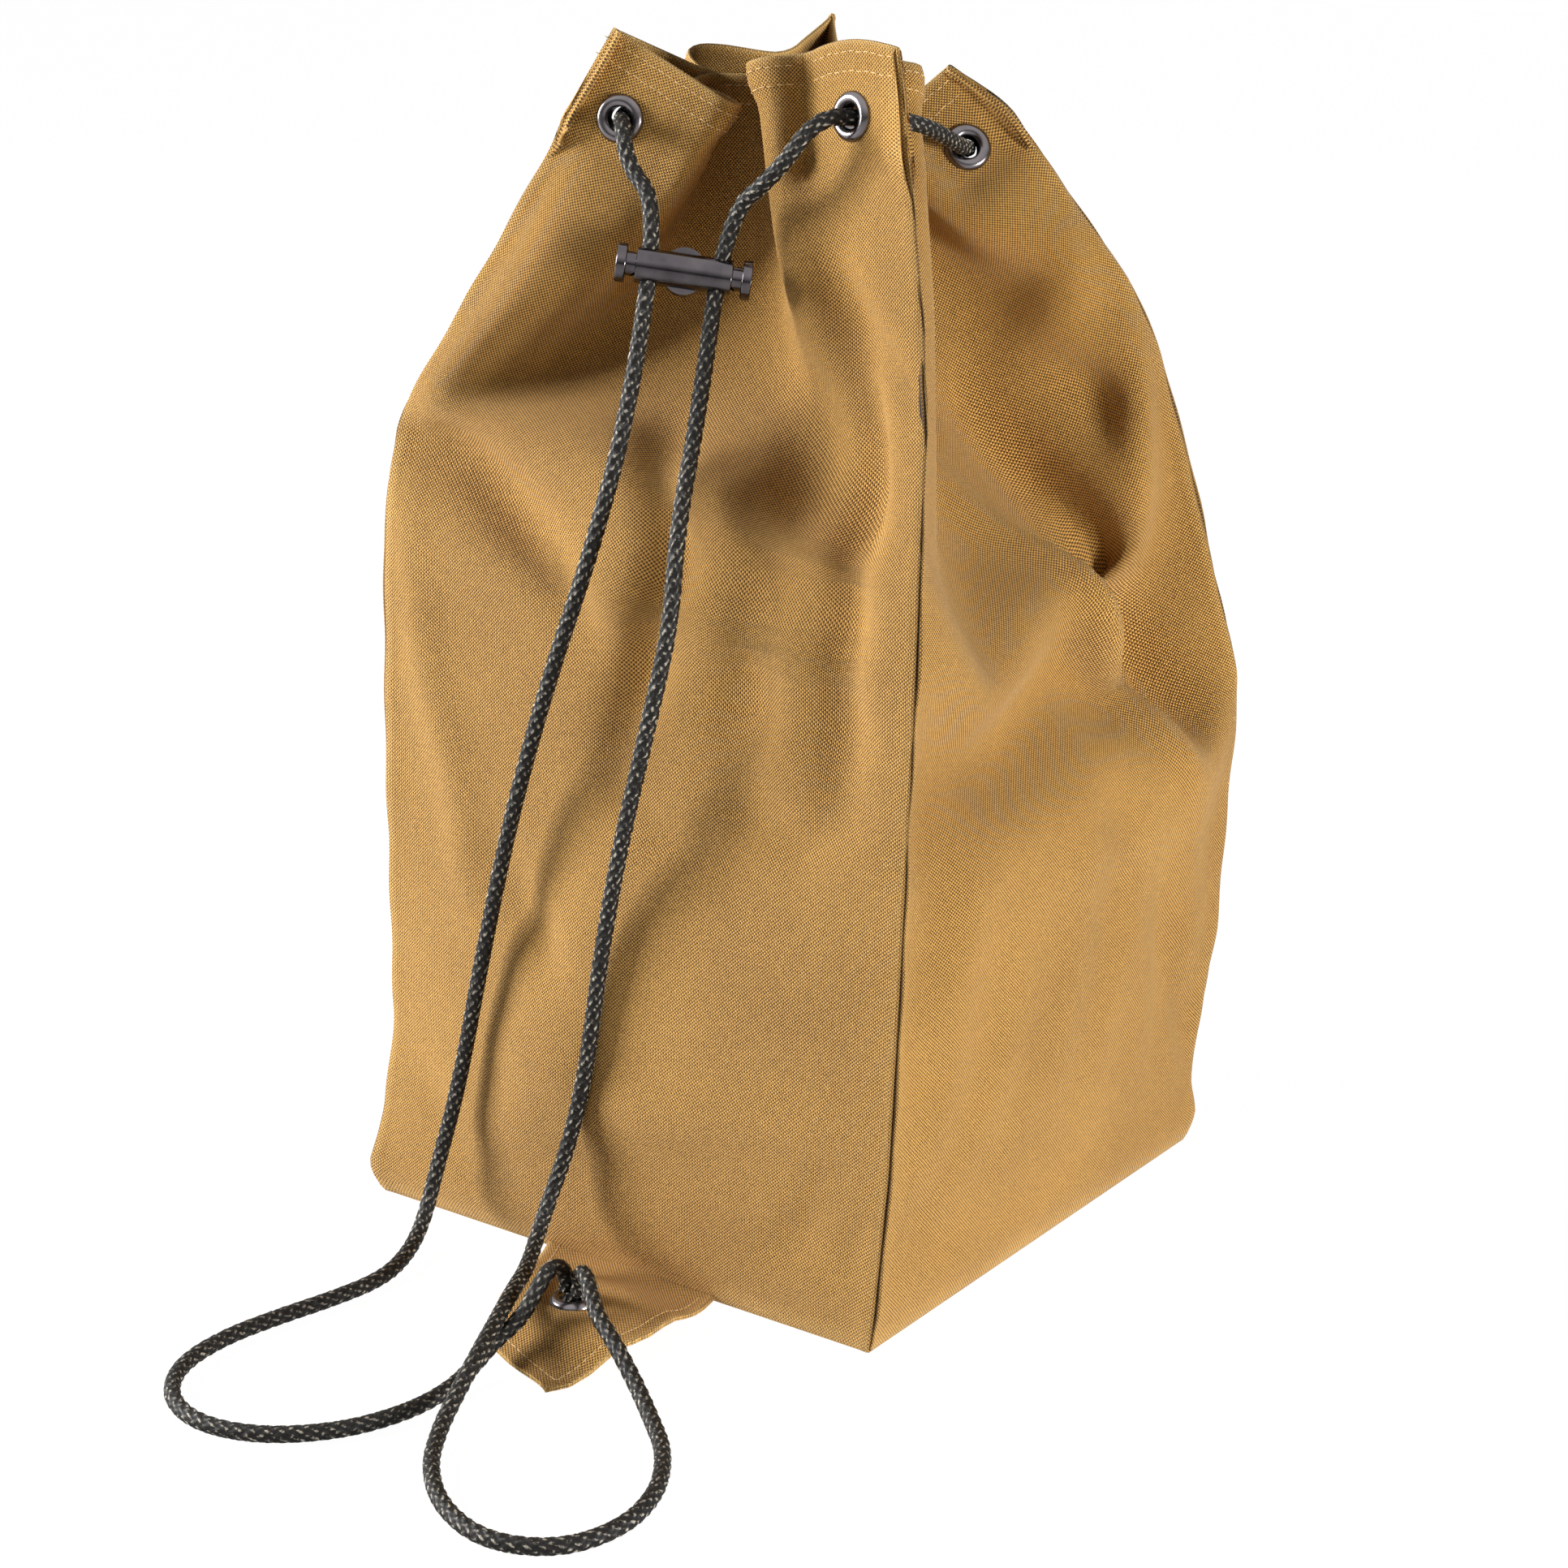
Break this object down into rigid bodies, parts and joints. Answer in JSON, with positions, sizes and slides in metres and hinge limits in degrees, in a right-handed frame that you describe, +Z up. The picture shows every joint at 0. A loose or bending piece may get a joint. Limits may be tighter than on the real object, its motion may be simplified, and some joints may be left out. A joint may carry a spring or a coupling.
{
  "type": "drawstring bag",
  "caption": "Drawstring sack with a square flat base, gathered mouth with grommets, a braided cord that returns to a tab at the base, and a spring cord lock",
  "frame": {"origin": "middle of the underside of the base, on the surface that the bag stands on", "axes": "+Z up along the bag's height, front panel with the tab and free strands facing -Y, +X to the right seen from the front"},
  "size_m": [0.2123, 0.3463, 0.377],
  "materials": {
    "cloth": "plain weave nylon, golden brown",
    "binding_tape": "woven tape",
    "cord": "solid braid",
    "grommet_metal": "black nickel plate",
    "lock_metal": "satin black nickel",
    "spring_steel": "bright wire"
  },
  "bodies": {
    "bag": {"front_panel": "cloth", "right_panel": "cloth", "back_panel": "cloth", "left_panel": "cloth", "base_panel": "cloth", "base_seam_binding": "binding_tape", "front_left_seam_binding": "binding_tape", "front_right_seam_binding": "binding_tape", "back_right_seam_binding": "binding_tape", "back_left_seam_binding": "binding_tape", "front_grommet_first": "grommet_metal", "front_washer_first": "grommet_metal", "front_grommet_last": "grommet_metal", "front_washer_last": "grommet_metal", "right_grommet_first": "grommet_metal", "right_washer_first": "grommet_metal", "right_grommet_last": "grommet_metal", "right_washer_last": "grommet_metal", "back_grommet_first": "grommet_metal", "back_washer_first": "grommet_metal", "back_grommet_last": "grommet_metal", "back_washer_last": "grommet_metal", "left_grommet_first": "grommet_metal", "left_washer_first": "grommet_metal", "left_grommet_last": "grommet_metal", "left_washer_last": "grommet_metal", "tab_under_ply": "cloth", "tab_top_ply": "cloth", "tab_grommet": "grommet_metal", "tab_washer": "grommet_metal", "drawcord_mouth_run": "cord", "drawcord_left_strand": "cord", "drawcord_right_strand": "cord", "cord_end_knot": "cord"},
    "cord_lock": {"lock_barrel": "lock_metal", "lock_spring": "spring_steel"},
    "plunger_left": {"lock_plunger_left": "lock_metal"},
    "plunger_right": {"lock_plunger_right": "lock_metal"}
  },
  "joints": [
    {"name": "cord_lock_slide", "type": "slide", "parent": "bag", "child": "cord_lock", "axis": [0.0773, -0.3461, -0.935], "range_m": [-0.002, 0.026]},
    {"name": "plunger_left_press", "type": "slide", "parent": "cord_lock", "child": "plunger_left", "axis": [0.8022, 0.5785, -0.1478], "range_m": [0, 0.0028], "stiffness_N_per_m": 1500, "springref_m": -0.002, "deforming": ["lock_spring"]},
    {"name": "plunger_right_press", "type": "slide", "parent": "cord_lock", "child": "plunger_right", "axis": [-0.8022, -0.5785, 0.1478], "range_m": [0, 0.0028], "stiffness_N_per_m": 1500, "springref_m": -0.002, "deforming": ["lock_spring"]}
  ]
}
